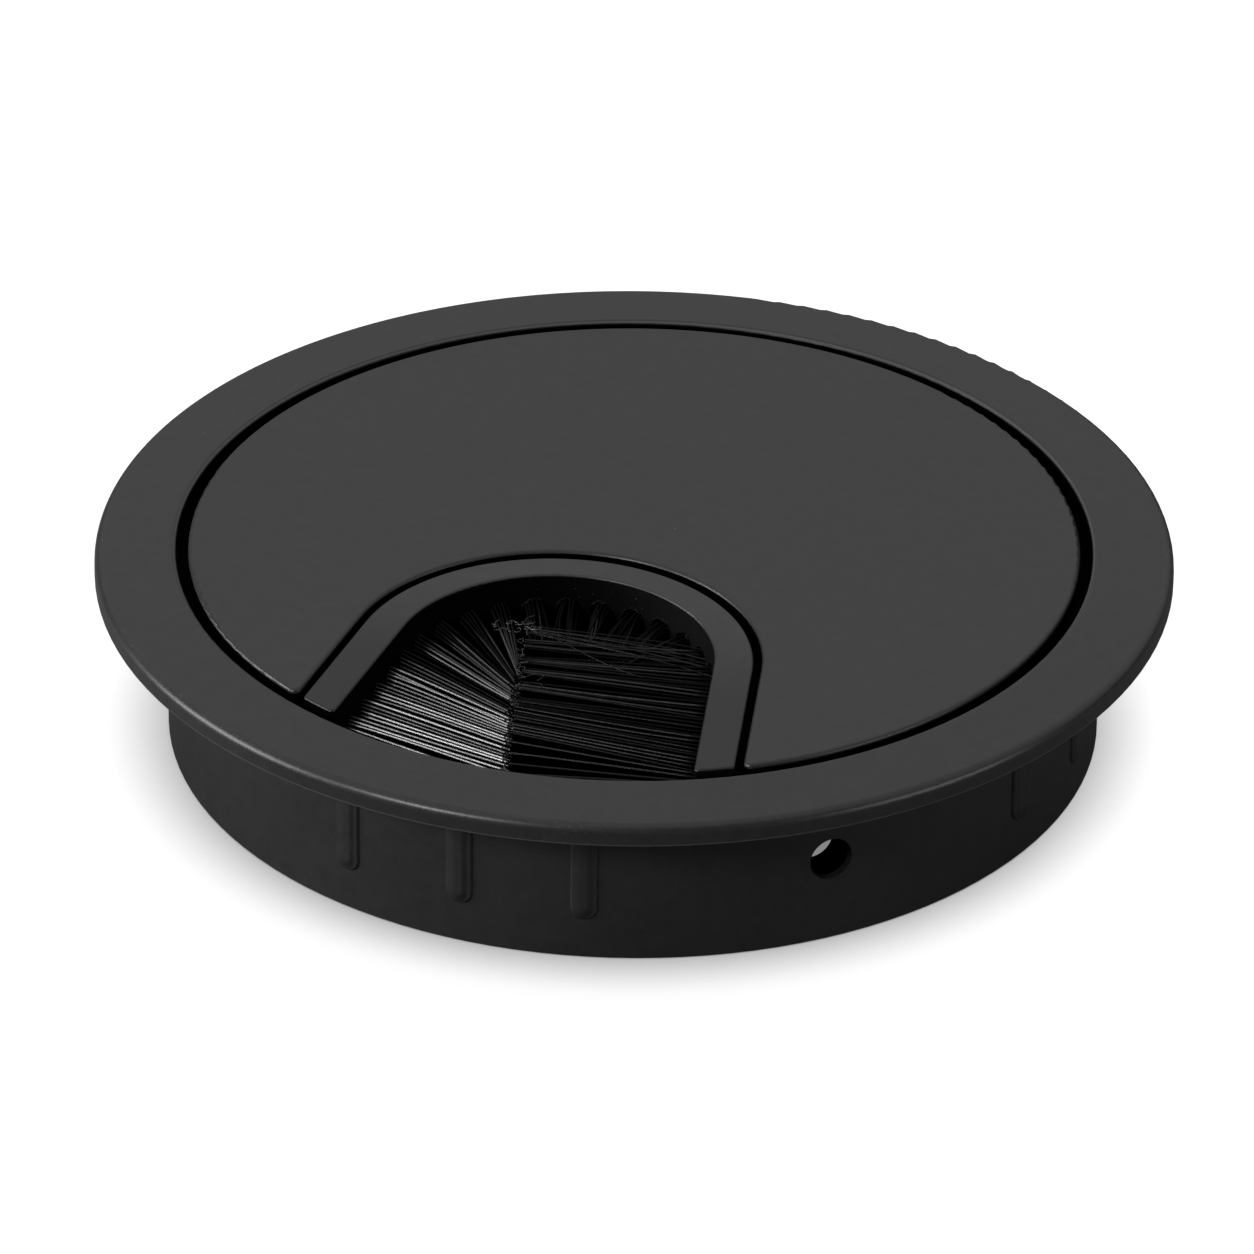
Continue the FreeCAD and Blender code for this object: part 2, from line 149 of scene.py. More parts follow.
class StudioSettings(bpy.types.PropertyGroup):
    """Camera, lamps and floor."""

    azimuth: bpy.props.FloatProperty(
        name="Azimuth", description="The camera's turn round the grommet, from its front",
        subtype="ANGLE", default=math.radians(13.4))
    elevation: bpy.props.FloatProperty(
        name="Elevation", description="The camera's angle above the horizon",
        subtype="ANGLE", default=math.radians(30.70))
    distance: bpy.props.FloatProperty(
        name="Distance", description="From the camera to the grommet's foot",
        unit="LENGTH", default=1.0629)
    tilt: bpy.props.FloatProperty(
        name="Tilt", description="The camera aims this far above the foot",
        subtype="ANGLE", default=math.radians(0.4037))
    pan: bpy.props.FloatProperty(
        name="Pan", description="The camera aims this far to the right of the foot",
        subtype="ANGLE", default=math.radians(-0.0305))
    roll: bpy.props.FloatProperty(
        name="Roll", description="The camera's turn about its own line of sight",
        subtype="ANGLE", default=math.radians(0.499))
    lens: bpy.props.FloatProperty(
        name="Lens", description="Focal length", unit="CAMERA", default=355.2)
    sky: bpy.props.FloatProperty(
        name="Sky", description="Brightness of the wide soft light overhead",
        min=0, max=2, default=0.56)
    sky_lean: bpy.props.FloatProperty(
        name="Sky lean", description="The soft light's middle lies this far behind the zenith",
        subtype="ANGLE", default=math.radians(25))
    key: bpy.props.FloatProperty(
        name="Key", description="Brightness of the small soft box at the front left",
        min=0, max=100, default=22.0)
    brush_light: bpy.props.FloatProperty(
        name="Brush light", description="Brightness of the bristles' own soft box",
        min=0, max=200, default=30.0)
    side: bpy.props.FloatProperty(
        name="Side", description="Brightness of the large soft box at the left",
        min=0, max=100, default=8.8)
    front: bpy.props.FloatProperty(
        name="Front", description="Brightness of the large soft box at the front",
        min=0, max=100, default=0.1)
    right: bpy.props.FloatProperty(
        name="Right", description="Brightness of the large soft box at the right",
        min=0, max=100, default=2.4)
    bench: bpy.props.FloatProperty(
        name="Bench", description="How much light the floor throws back on the grommet",
        subtype="FACTOR", min=0, max=1, default=0.2)
    paper_glow: bpy.props.FloatProperty(
        name="Paper glow", description="White that the camera sees besides the lit paper",
        subtype="FACTOR", min=0, max=1, default=0.87)
    contact: bpy.props.FloatProperty(
        name="Contact shade", description="The paper darkens within this distance of the grommet",
        unit="LENGTH", min=0.001, max=0.1, default=0.006)
    floor_colour: bpy.props.FloatVectorProperty(
        name="Floor colour", description="Colour of the paper floor",
        subtype="COLOR", size=3, min=0, max=1, default=(0.86, 0.86, 0.86))


class GrommetSettings(bpy.types.PropertyGroup):
    """Everything that can be changed on the grommet."""

    plastic: bpy.props.PointerProperty(type=PlasticSettings)
    brush: bpy.props.PointerProperty(type=BrushSettings)
    studio: bpy.props.PointerProperty(type=StudioSettings)


class Value:
    """A shader socket that Python's arithmetic turns into Math nodes."""

    def __init__(self, graph, socket):
        self.graph = graph
        self.socket = socket

    def math(self, operation, *others):
        """The Math node of that name on this value and the others."""
        sockets = dict(enumerate((self, *others)))
        return self.graph.node("ShaderNodeMath", {"operation": operation}, sockets)

    def __add__(self, other):
        return self.math("ADD", other)

    __radd__ = __add__

    def __mul__(self, other):
        return self.math("MULTIPLY", other)

    __rmul__ = __mul__

    def __sub__(self, other):
        return self.math("SUBTRACT", other)

    def __rsub__(self, other):
        return self.math("MULTIPLY", -1) + other

    def __truediv__(self, other):
        return self.math("DIVIDE", other)

    def __rtruediv__(self, other):
        return self.math("POWER", -1) * other

    def above(self, edge, soft):
        """0 below edge and 1 above it, over a soft width."""
        sockets = {"Value": self, "From Min": edge - soft / 2, "From Max": edge + soft / 2}
        return self.graph.node("ShaderNodeMapRange", {"interpolation_type": "SMOOTHSTEP"}, sockets)

    def below(self, edge, soft):
        """1 below edge and 0 above it, over a soft width."""
        return 1 - self.above(edge, soft)


class Graph:
    """The nodes of one material or world, made from Python expressions."""

    def __init__(self, owner):
        owner.use_nodes = True
        self.tree = owner.node_tree
        self.tree.nodes.clear()

    def node(self, kind, settings=None, sockets=None, output=0):
        """One node: its type, its settings first, then its sockets. Gives back one output."""
        made = self.tree.nodes.new(kind)
        for name, value in (settings or {}).items():
            setattr(made, name, value)
        for name, value in (sockets or {}).items():
            if isinstance(value, Value):
                self.tree.links.new(value.socket, made.inputs[name])
            else:
                made.inputs[name].default_value = value
        return Value(self, made.outputs[output]) if len(made.outputs) else None

    def place(self):
        """Position on the piece, in metres."""
        return self.node("ShaderNodeTexCoord", output="Object")

    def parts(self, vector):
        """The x, y and z of a vector."""
        split = self.node("ShaderNodeSeparateXYZ", sockets={"Vector": vector}).socket.node
        return [Value(self, split.outputs[name]) for name in "XYZ"]

    def noise(self, place, size, detail=2.0):
        """Soft noise whose features are about that many metres wide."""
        sockets = {"Vector": place, "Scale": 1 / size, "Detail": detail}
        return self.node("ShaderNodeTexNoise", sockets=sockets)

    def specks(self, place, size, share, radius):
        """Round specks in a share of the cells of that size."""
        cell = {"Vector": place, "Scale": 1 / size}
        distance = self.node("ShaderNodeTexVoronoi", sockets=cell)
        chosen = self.node("ShaderNodeTexVoronoi", sockets=cell, output="Color")
        pick = self.parts(chosen)[0]
        return distance.math("LESS_THAN", radius / size) * pick.math("GREATER_THAN", 1 - share)

    def mixed(self, factor, first, second):
        """A colour between two."""
        sockets = {0: factor, 6: first, 7: second}
        return self.node("ShaderNodeMix", {"data_type": "RGBA"}, sockets, output=2)

    def scaled(self, colour, factor):
        """A colour times a value."""
        sockets = {0: colour, "Scale": factor}
        return self.node("ShaderNodeVectorMath", {"operation": "SCALE"}, sockets)

    def finish(self, kind, sockets):
        """The surface shader and the output it goes to."""
        shader = self.node(kind, sockets=sockets)
        self.node("ShaderNodeOutputMaterial", sockets={"Surface": shader})


def rgba(colour):
    """A colour with its alpha."""
    return (*colour, 1.0)


class Spot:
    """The spot that is shaded: its place, and its distance from the upright axis."""

    def __init__(self, graph):
        self.place = graph.place()
        self.x, self.y, self.height = graph.parts(self.place)
        self.radius = (self.x * self.x + self.y * self.y).math("SQRT")


def ring_recess_painted_shade(spot):
    """1 in the lid's recess and inside the sleeve, which are painted in near-black shade."""
    recess_wall = 39.08 * MM
    return spot.radius.below(recess_wall, 0.12 * MM)


def lid_gap_painted_shade(spot):
    """1 on the lid's upright sides down in the gaps, and a little higher beside the frame, where
    shade is painted near-black.
    """
    legs_end, arc_reach = -31.5 * MM, 36 * MM
    side_foot, side_top, raised = 15.05 * MM, 16.62 * MM, 0.15 * MM
    beside_frame = spot.y.above(legs_end, 1 * MM) * spot.radius.below(arc_reach, 1 * MM)
    edge = beside_frame * raised + side_top
    return spot.height.above(side_foot, 0.1 * MM) * (edge - spot.height).above(0, 0.1 * MM)


def frame_well_painted_shade(spot):
    """1 on the frame's upright walls, round the brush and in the gap to the lid, where shade is
    painted dark.
    """
    wall_foot, wall_top = 9.9 * MM, 16.86 * MM
    return spot.height.above(wall_foot, 0.1 * MM) * spot.height.below(wall_top, 0.14 * MM)


def flange_rim(spot):
    """1 on the flange's rounded outer edge."""
    edge_start = 45.25 * MM
    return spot.radius.above(edge_start, 0.5 * MM)


def lid_rim(spot):
    """1 along the lid's outer edge."""
    edge_start = 37.75 * MM
    return spot.radius.above(edge_start, 0.3 * MM)


def flange_edge_painted_highlight(spot):
    """A thin light line painted along the flange's lower edge: a painted highlight of its corner.
    """
    line_foot, line_top, flange_side = 14.62 * MM, 14.78 * MM, 45.88 * MM
    line = spot.height.above(line_foot, 0.03 * MM) * spot.height.below(line_top, 0.06 * MM)
    return line * spot.radius.above(flange_side, 0.05 * MM)


def recess_lip_painted_highlight(spot):
    """A lighter line painted on the edge where the lid's recess starts: a painted highlight."""
    lip_inside, lip_outside, near_top = 39.1 * MM, 39.26 * MM, 16.8 * MM
    lip = spot.radius.above(lip_inside, 0.04 * MM) * spot.radius.below(lip_outside, 0.05 * MM)
    return lip * spot.height.above(near_top, 0.1 * MM)


def rib_relief(spot):
    """0 to 1 over the flanks of the sleeve's grip ribs, three on each side of a screw hole."""
    screw_hole, first_rib, pitch = math.radians(38), math.radians(30.2), math.radians(15.4)
    sleeve_radius, rib_foot, flange_foot = 39.85 * MM, 4.9 * MM, 14.5 * MM
    half_width, wider_flank, soft = 0.5 * MM, 0.36 * MM, 0.95 * MM
    turn = spot.x.math("ARCTAN2", spot.y * -1) - screw_hole
    beside = turn.math("WRAP", math.pi / 2, -math.pi / 2).math("ABSOLUTE") - first_rib
    nearest = (beside * (1 / pitch)).math("ROUND").math("MAXIMUM", 0).math("MINIMUM", 2)
    sideways = (beside - nearest * pitch) * sleeve_radius
    below_foot = (rib_foot - spot.height).math("MAXIMUM", 0)
    distance = (sideways * sideways + below_foot * below_foot).math("SQRT")
    on_sleeve = spot.height.below(flange_foot, 0.1 * MM) * spot.radius.below(41 * MM, 1 * MM)
    edge = sideways.above(0, 1.8 * MM) * wider_flank + half_width
    return (distance - edge).below(0, soft) * on_sleeve


def rim_normal(graph, spot):
    """The ring's own normals, with those of a true quarter round along the flange's top edge."""
    round_centre, round_foot, round_start = 45.2 * MM, 15.756 * MM, 45.265 * MM
    rise = spot.height - round_foot
    outward = (spot.radius - round_centre) / spot.radius
    sides = {"X": spot.x * outward, "Y": spot.y * outward, "Z": rise}
    spoke = graph.node("ShaderNodeCombineXYZ", sockets=sides)
    round_normal = graph.node("ShaderNodeVectorMath", {"operation": "NORMALIZE"}, {0: spoke})
    own_normal = graph.node("ShaderNodeNewGeometry", output="Normal")
    on_round = spot.radius.math("GREATER_THAN", round_start) * rise.math("GREATER_THAN", 0)
    sockets = {0: on_round, 4: own_normal, 5: round_normal}
    return graph.node("ShaderNodeMix", {"data_type": "VECTOR"}, sockets, output=1)


def moulded_plastic(name, settings, painted_shade_mask, rim, ribbed=False, framed=False):
    """Fine-grained black plastic with specks and a scuffed rim, and near-black painted shade in
    its hollows and gaps.
    """
    scratch_size, speck_cell, speck_radius = 0.3 * MM, 1.4 * MM, 0.07 * MM
    material = bpy.data.materials.new(name)
    graph = Graph(material)
    spot = Spot(graph)
    patches = graph.noise(spot.place, settings.patch_size, 3)
    grain = graph.noise(spot.place, settings.grain_size, 2)
    mottle = graph.noise(spot.place, settings.grain_size * 6, 2)
    worn_rim = rim(spot)
    flattened = graph.node("ShaderNodeVectorMath", {"operation": "MULTIPLY"},
                           {0: spot.place, 1: (1.0, 1.0, 3.5)})
    scratches = graph.noise(flattened, scratch_size, 4).above(0.66, 0.05)
    scuffs = scratches * worn_rim * patches.above(0.53, 0.10)
    dust = graph.specks(spot.place, speck_cell, settings.specks, speck_radius)
    wear_and_painted_highlights = scuffs * 0.4 + dust * 0.9
    relief = {"Strength": 1.0, "Distance": 1.0}
    height = grain * settings.grain_depth + mottle * (settings.grain_depth * 1.5)
    if ribbed:
        # Painted highlights along the flange's lower edge and the recess lip, added to the wear
        wear_and_painted_highlights = wear_and_painted_highlights + flange_edge_painted_highlight(spot) * 0.4 + recess_lip_painted_highlight(spot) * 0.35
        relief["Normal"] = rim_normal(graph, spot)
        height = height + rib_relief(spot) * settings.rib_relief
    tone = 0.43 + patches * 0.3 + mottle * 0.4 + grain * 0.5
    painted_shade_colour = rgba((0.0, 0.0, 0.0))
    if framed:
        # Painted light: the frame is painted darker along its legs and lighter at its arc, and its
        # painted shade lighter towards the right
        arc_painted_light = spot.y.above(-17 * MM, 18 * MM)
        right_painted_light = spot.x.above(0, 16 * MM)
        tone = tone * (0.55 + arc_painted_light * 0.9)
        painted_shade_colour = graph.scaled(settings.colour, tone * (right_painted_light * 0.15 + 0.04))
    plain = graph.scaled(settings.colour, tone)
    colour = graph.mixed(wear_and_painted_highlights.math("MINIMUM", 1.0), plain, rgba(settings.wear_and_highlight_colour))
    roughness = (settings.roughness - 0.07) + patches * 0.08 + grain * 0.06 - worn_rim * 0.04
    bump = graph.node("ShaderNodeBump", sockets={"Height": height, **relief})
    open_face = graph.node("ShaderNodeBsdfPrincipled", sockets={
        "Base Color": colour, "Roughness": roughness, "Normal": bump, "IOR": PLASTIC_IOR})
    # Painted shade: a near-black, barely glossy copy of the plastic for the hollows and gaps
    painted_shade_face = graph.node("ShaderNodeBsdfPrincipled", sockets={
        "Base Color": painted_shade_colour, "Roughness": 0.8, "Normal": bump, "Specular IOR Level": 0.02})
    graph.finish("ShaderNodeMixShader", {0: painted_shade_mask(spot), 1: open_face, 2: painted_shade_face})
    return material


def nylon(name, colour, roughness):
    """Drawn nylon, painted lit or shaded: each filament's shine runs from a dull black, painted
    shade, to a bright line, painted light.
    """
    patch_size = 0.9 * MM
    material = bpy.data.materials.new(name)
    graph = Graph(material)
    shine = graph.node("ShaderNodeAttribute", {"attribute_name": "shine"}, output="Fac")
    patches = graph.noise(graph.place(), patch_size, 2)
    # Painted shade: a near-black, matte copy of the nylon
    dull = graph.node("ShaderNodeBsdfPrincipled", sockets={
        "Base Color": graph.scaled(colour, patches * 0.15),
        "Roughness": 0.8, "Specular IOR Level": 0.03})
    # Painted light: the shine brightens the lit copy's colour many times over
    brightness = (0.7 + patches * 0.6) * (shine.math("POWER", 3) * 15 + 0.6)
    bright = graph.node("ShaderNodeBsdfPrincipled", sockets={
        "Base Color": graph.scaled(colour, brightness),
        "Roughness": (roughness - 0.05) + patches * 0.1, "IOR": NYLON_IOR})
    graph.finish("ShaderNodeMixShader", {0: shine, 1: dull, 2: bright})
    return material


def paper_floor(settings):
    """Paper that the camera sees white round the sleeve; to other rays it is a grey bench."""
    sleeve_inside = 38.0 * MM
    hole_x, hole_y, spot_radius, spot_glow = 21.5 * MM, -18.7 * MM, 5.5 * MM, 0.24
    dim_paper, black, white = rgba((0.01,) * 3), rgba((0,) * 3), rgba((1,) * 3)
    material = bpy.data.materials.new("white_paper_floor")
    graph = Graph(material)
    spot = Spot(graph)
    seen = graph.node("ShaderNodeLightPath", output="Is Camera Ray")
    # Painted shade: the paper inside the sleeve, under the lid, is dimmed to nearly black
    under_lid = spot.radius.below(sleeve_inside, 1.6 * MM)
    # Painted light: a patch of paper behind the screw hole glows as if lit
    across, along = spot.x - hole_x, spot.y - hole_y
    hole_light = (across * across + along * along).math("SQRT").below(spot_radius, 3 * MM)
    paper = graph.mixed(under_lid, rgba(settings.floor_colour), dim_paper)
    beside = spot.x.below(-50 * MM, 50 * MM) * 1.8 + spot.x.above(60 * MM, 40 * MM)
    bench = graph.scaled((settings.bench,) * 3, beside + 1)
    colour = graph.mixed(seen, bench, paper)
    reach = {"Distance": settings.contact}
    open_sky = graph.node("ShaderNodeAmbientOcclusion", {"samples": 8}, reach, output="AO")
    glow = seen * ((1 - under_lid) * open_sky * settings.paper_glow + hole_light * spot_glow)
    shine = graph.mixed(glow, black, white)
    graph.finish("ShaderNodeBsdfPrincipled", {
        "Base Color": colour, "Roughness": 1.0, "Specular IOR Level": 0.0,
        "Emission Color": shine, "Emission Strength": 1.0})
    return material


def dress(node, material):
    """Gives a CAD node its material."""
    node.data.materials.clear()
    node.data.materials.append(material)


class Tubes:
    """Many thin tubes gathered into one mesh, each with its own shine, which paints its light and
    shade.
    """

    SIDES = 5

    def __init__(self):
        self.points = []
        self.faces = []
        self.shines = []

    def add(self, path, radius, shines):
        """One tube along a path, with a shine, its painted light or shade, at each of its points.
        """
        # A point close to the end keeps the flat cap from tilting the smooth shading before it
        path = [*path[:-1], path[-1].lerp(path[-2], 0.03), path[-1]]
        shines = [*shines, shines[-1]]
        first = len(self.points)
        across = None
        for index, (point, shine) in enumerate(zip(path, shines)):
            ahead = path[min(index + 1, len(path) - 1)] - path[max(index - 1, 0)]
            ahead.normalize()
            if across is None:
                across = ahead.cross(UP if abs(ahead.z) < 0.9 else Vector((1, 0, 0)))
            across = (across - ahead * across.dot(ahead)).normalized()
            beside = ahead.cross(across)
            for side in range(self.SIDES):
                turn = math.tau * side / self.SIDES
                spoke = across * math.cos(turn) + beside * math.sin(turn)
                self.points.append(point + spoke * radius)
                self.shines.append(shine)
        for ring in range(len(path) - 1):
            low = first + ring * self.SIDES
            high = low + self.SIDES
            for side in range(self.SIDES):
                after = (side + 1) % self.SIDES
                self.faces.append((low + side, low + after, high + after, high + side))
        last = first + (len(path) - 1) * self.SIDES
        self.faces.append(tuple(first + side for side in reversed(range(self.SIDES))))
        self.faces.append(tuple(last + side for side in range(self.SIDES)))

    def make(self, name, material):
        """The gathered tubes as one smooth object."""
        mesh = bpy.data.meshes.new(name)
        mesh.from_pydata(self.points, [], self.faces)
        mesh.attributes.new("shine", "FLOAT", "POINT").data.foreach_set("value", self.shines)
        mesh.shade_smooth()
        mesh.materials.append(material)
        piece = bpy.data.objects.new(name, mesh)
        bpy.context.scene.collection.objects.link(piece)
        nylon_pieces().objects.link(piece)
        return piece


def nylon_pieces():
    """The collection of the pieces that the brush light shines on."""
    return bpy.data.collections.get("nylon_pieces") or bpy.data.collections.new("nylon_pieces")


# How a tuft lies, in painted light: the share of its rows painted lit, how bright the brightest
# is, how far the rows fan out over the tuft's share of the seam, and the length of the painted
# shadow at the root
Lie = namedtuple("Lie", "share brightest fan dark_root")


class Brush:
    """The brush's plan: the holes in the frame's wall and the seam where the tips meet."""

    # How closely the tufts' places on the seam follow their places on the wall
    RIGHT_SPREAD = 0.8
    LEFT_SPREAD = 0.84
    FAN_SPREAD = 0.63
    # The left tufts are combed this far towards the mouth
    LEFT_COMB = 5.6 * MM
    # Past this angle on the arc's right half a tuft belongs to the back wall
    BACK_ANGLE = math.radians(40)
    # The part of the seam that the right tufts fill, from the mouth
    SEAM_START = 0.1 * MM
    RIGHT_END = 25.2 * MM
    # How squarely a filament leaves the wall, instead of straight towards its tip
    LEAVE_SQUARE = 0.1
    # The filaments of a row stand one behind the other along this direction
    ROW_DEPTH = Vector((-0.199, 0.836, -0.511))
    # The first tufts of the right leg have more rows painted lit, less brightly, and fan out wider
    # than the others
    DENSE_TUFTS = 3
    # Painted light and shade for each group of tufts: lit rows, brightness, fan and painted root
    # shadow
    DENSE_LIE = Lie(0.85, 0.32, 1.0, 0.3 * MM)
    RIGHT_LIE = Lie(0.6, 0.42, 0.62, 0.3 * MM)
    BACK_LIE = Lie(0.4, 0.4, 1.0, 1.4 * MM)

    def __init__(self, settings):
        self.settings = settings
        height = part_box("brush_frame")[1].z - settings.drop
        self.centre = Vector((-settings.mouth_offset, -settings.arc_distance, height))
        self.mouth = Vector((-settings.mouth_offset, -settings.leg_limit, height))
        self.seam = Vector((-math.sin(settings.seam_lean), math.cos(settings.seam_lean), 0))
        self.holes = self.wall_holes()
        self.shares = self.seam_shares()

    def leg(self, side):
        """Start, direction and length of a leg; side is 1 on the right and -1 on the left."""
        flare = self.settings.leg_flare
        along = Vector((side * math.sin(flare), -math.cos(flare), 0))
        outward = Vector((side * math.cos(flare), math.sin(flare), 0))
        start = self.centre + outward * self.settings.inner_radius
        flat = Vector((start.x, start.y, 0))
        part = flat.dot(along)
        limit = self.settings.leg_limit
        length = -part + math.sqrt(part * part - flat.length_squared + limit ** 2)
        return start, along, length

    def wall_holes(self):
        """The tuft holes along the inner wall, right leg first, as (place, inward)."""
        sizes = self.settings
        right_start, right_along, right = self.leg(1)
        left_start, left_along, left = self.leg(-1)
        arc = sizes.inner_radius * (math.pi - 2 * sizes.leg_flare)
        usable = right + arc + left - 2 * sizes.end_margin
        count = int(usable / sizes.pitch) + 1
        first = sizes.end_margin + (usable - (count - 1) * sizes.pitch) / 2
        holes = []
        for index in range(count):
            travel = first + index * sizes.pitch
            if travel < right:
                place = right_start + right_along * (right - travel)
                inward = right_along.cross(UP)
            elif travel < right + arc:
                turn = sizes.leg_flare + (travel - right) / sizes.inner_radius
                inward = Vector((-math.cos(turn), -math.sin(turn), 0))
                place = self.centre - inward * sizes.inner_radius
            else:
                place = left_start + left_along * (travel - right - arc)
                inward = UP.cross(left_along)
            holes.append((place, inward))
        return holes

    def seam_point(self, depth):
        """Point of the seam at a y coordinate."""
        return self.mouth + self.seam * ((depth - self.mouth.y) / self.seam.y)

    def seam_side(self, point):
        """1 right of the seam, -1 left of it."""
        return 1 if point.x > self.seam_point(point.y).x else -1

    def is_back(self, index):
        """True for the tufts of the back wall, which stop short of the seam."""
        root = self.holes[index][0]
        behind = self.centre.y + self.settings.inner_radius * math.sin(self.BACK_ANGLE)
        return self.seam_side(root) > 0 and root.y > behind

    def aim(self, index):
        """Distance along the seam, from the mouth, that a tuft is combed towards."""
        root = self.holes[index][0]
        from_arc = root.y - self.centre.y
        if self.seam_side(root) > 0:
            depth = self.centre.y + self.RIGHT_SPREAD * from_arc
        elif from_arc < 0:
            depth = self.centre.y - self.LEFT_COMB + self.LEFT_SPREAD * from_arc
        else:
            depth = self.centre.y - self.LEFT_COMB + self.FAN_SPREAD * from_arc
        return (depth - self.mouth.y) / self.seam.y

    def seam_shares(self):
        """For each combed tuft the middle and the half length of its share of the seam."""
        shares = {}
        for side in (1, -1):
            combed = [index for index, (root, inward) in enumerate(self.holes)
                      if self.seam_side(root) == side and not self.is_back(index)]
            combed.sort(key=self.aim)
            aims = [self.aim(index) for index in combed]
            last = self.RIGHT_END if side > 0 else aims[-1] + (aims[-1] - aims[-2]) / 2
            between = [(a + b) / 2 for a, b in zip(aims, aims[1:])]
            limits = [self.SEAM_START, *between, last]
            for index, low, high in zip(combed, limits, limits[1:]):
                shares[index] = ((low + high) / 2, (high - low) / 2)
        return shares

    def lie(self, index):
        """How a tuft lies; the left ones are painted brightest, and less bright towards the back.
        """
        root = self.holes[index][0]
        if self.is_back(index):
            return self.BACK_LIE
        if self.seam_side(root) > 0:
            return self.DENSE_LIE if index < self.DENSE_TUFTS else self.RIGHT_LIE
        behind = clamped((root.y - self.centre.y + 1 * MM) / (10 * MM))
        # Painted light: towards the back fewer rows are lit, less brightly, with a longer painted
        # root shadow
        return Lie(0.94 - 0.3 * behind, 1.0 - 0.4 * behind, 1.0, (0.1 + 2.2 * behind) * MM)


def clamped(value):
    """A number held between 0 and 1."""
    return max(0.0, min(1.0, value))


def bundle_places(rows, depth):
    """Row and place in the row of a bundle's filaments; the outer rows are shorter."""
    places = []
    for row in range(-rows, rows + 1):
        reach = depth - abs(row) // 2
        places += [(row, step) for step in range(-reach, reach + 1)]
    return places


def bezier(corners, steps):
    """Points along the cubic curve of four corners."""
    a, b, c, d = corners
    points = []
    for step in range(steps + 1):
        t = step / steps
        s = 1 - t
        points.append(a * (s ** 3) + b * (3 * s * s * t) + c * (3 * s * t * t) + d * (t ** 3))
    return points


def scatter(chance, size):
    """A small random offset in all directions."""
    return Vector([chance.gauss(0, size) for axis in range(3)])


def row_axes(brush, course):
    """Unit vectors along a row's depth and across the rows, both square to the tuft's course."""
    depth = brush.ROW_DEPTH - course * brush.ROW_DEPTH.dot(course)
    depth.normalize()
    across = depth.cross(course)
    return depth, across * math.copysign(1, across.dot(brush.seam))


def rooted(brush, index, place, axes, offset):
    """A filament's foot inside its hole and the point where it leaves the wall."""
    root, inward = brush.holes[index]
    row, step = place
    depth, across = axes
    in_hole, outside = 1.6 * MM, 0.1 * MM
    at_root = (across * row + depth * (step * 0.85)) * brush.settings.spacing
    foot = root - inward * in_hole + at_root * 0.8 + offset
    return foot, root + inward * outside + at_root + offset


def combed_filament(brush, index, place, sway, chance):
    """Path of one filament of a tuft that reaches the seam."""
    root, inward = brush.holes[index]
    row, step = place
    middle, half = brush.shares[index]
    aim = brush.mouth + brush.seam * middle
    depth, across = row_axes(brush, (aim - root).normalized())
    foot, start = rooted(brush, index, place, (depth, across), scatter(chance, 0.008 * MM))
    # Neighbouring tufts meet the seam at three heights in turn
    height = (index % 3 - 1) * 0.12 * MM + sway[1] * 0.04 * MM
    spread = row / (brush.settings.rows + 0.5) * brush.lie(index).fan
    tip = brush.mouth + brush.seam * (middle + spread * half + sway[0] * 0.04 * MM)
    tip += depth * (step * brush.settings.spacing * 0.7) + UP * height
    course = (tip - start).normalized()
    length = (tip - start).length
    ragged = min(abs(chance.gauss(0, 0.22 * MM)), 0.7 * MM)
    tip -= course * (0.05 * MM + ragged)
    bow = across * (sway[2] * 0.06 * MM)
    leaving = inward * brush.LEAVE_SQUARE + course * (1 - brush.LEAVE_SQUARE)
    leave = start + leaving * (length * 0.22) + bow
    arrive = tip - course * (length * 0.35) + bow * 1.3
    return [foot] + bezier((start, leave, arrive, tip), 10)


def back_filament(brush, index, place, sway, chance):
    """Path of one filament of the back wall, which dips under the right side's first row."""
    inward = brush.holes[index][1]
    along_wall = UP.cross(inward)
    axes = row_axes(brush, inward)
    foot, start = rooted(brush, index, place, axes, scatter(chance, 0.015 * MM))
    length = chance.uniform(4.6, 6.4) * MM
    sideways = sway[0] * 0.3 * MM + chance.gauss(0, 0.06 * MM)
    tip = start + inward * length + along_wall * sideways
    tip -= UP * ((1.1 + sway[1] * 0.2) * MM)
    bow = along_wall * (sway[2] * 0.15 * MM)
    leave = start + inward * (length * 0.35) + bow
    arrive = tip - inward * (length * 0.3) + bow
    return [foot] + bezier((start, leave, arrive, tip), 9)


def curl(start, steps, step, turning, chance):
    """A filament end that winds about at random."""
    course = Matrix.Rotation(chance.uniform(0, math.tau), 3, "Z") @ Vector((1, 0, 0))
    across = course.cross(UP).normalized()
    path = [start]
    steps = chance.randint(*steps)
    turning = chance.choice((-turning, turning))
    for count in range(steps):
        course = Matrix.Rotation(chance.gauss(turning, 0.75), 3, UP) @ course
        course = (course + across * chance.gauss(0, 0.1)).normalized()
        course.z = chance.gauss(0.02, 0.22)
        path.append(path[-1] + course.normalized() * step)
    return path


def smoothed(path, rounds=2):
    """The same path with its corners cut."""
    for count in range(rounds):
        cut = [path[0]]
        for a, b in zip(path, path[1:]):
            cut += [a.lerp(b, 0.25), a.lerp(b, 0.75)]
        path = cut + [path[-1]]
    return path


class GROMMET_OT_dress_ring(bpy.types.Operator):
    """Give the flanged base ring its moulded plastic"""
    bl_idname = "grommet.dress_ring"
    bl_label = "Finish the base ring"
    bl_options = {"REGISTER", "UNDO"}

    def execute(self, context):
        plastic = moulded_plastic("ring_plastic", context.scene.grommet.plastic,
                                  painted_shade_mask=ring_recess_painted_shade, rim=flange_rim, ribbed=True)
        dress(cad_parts["base_ring"], plastic)
        return {"FINISHED"}


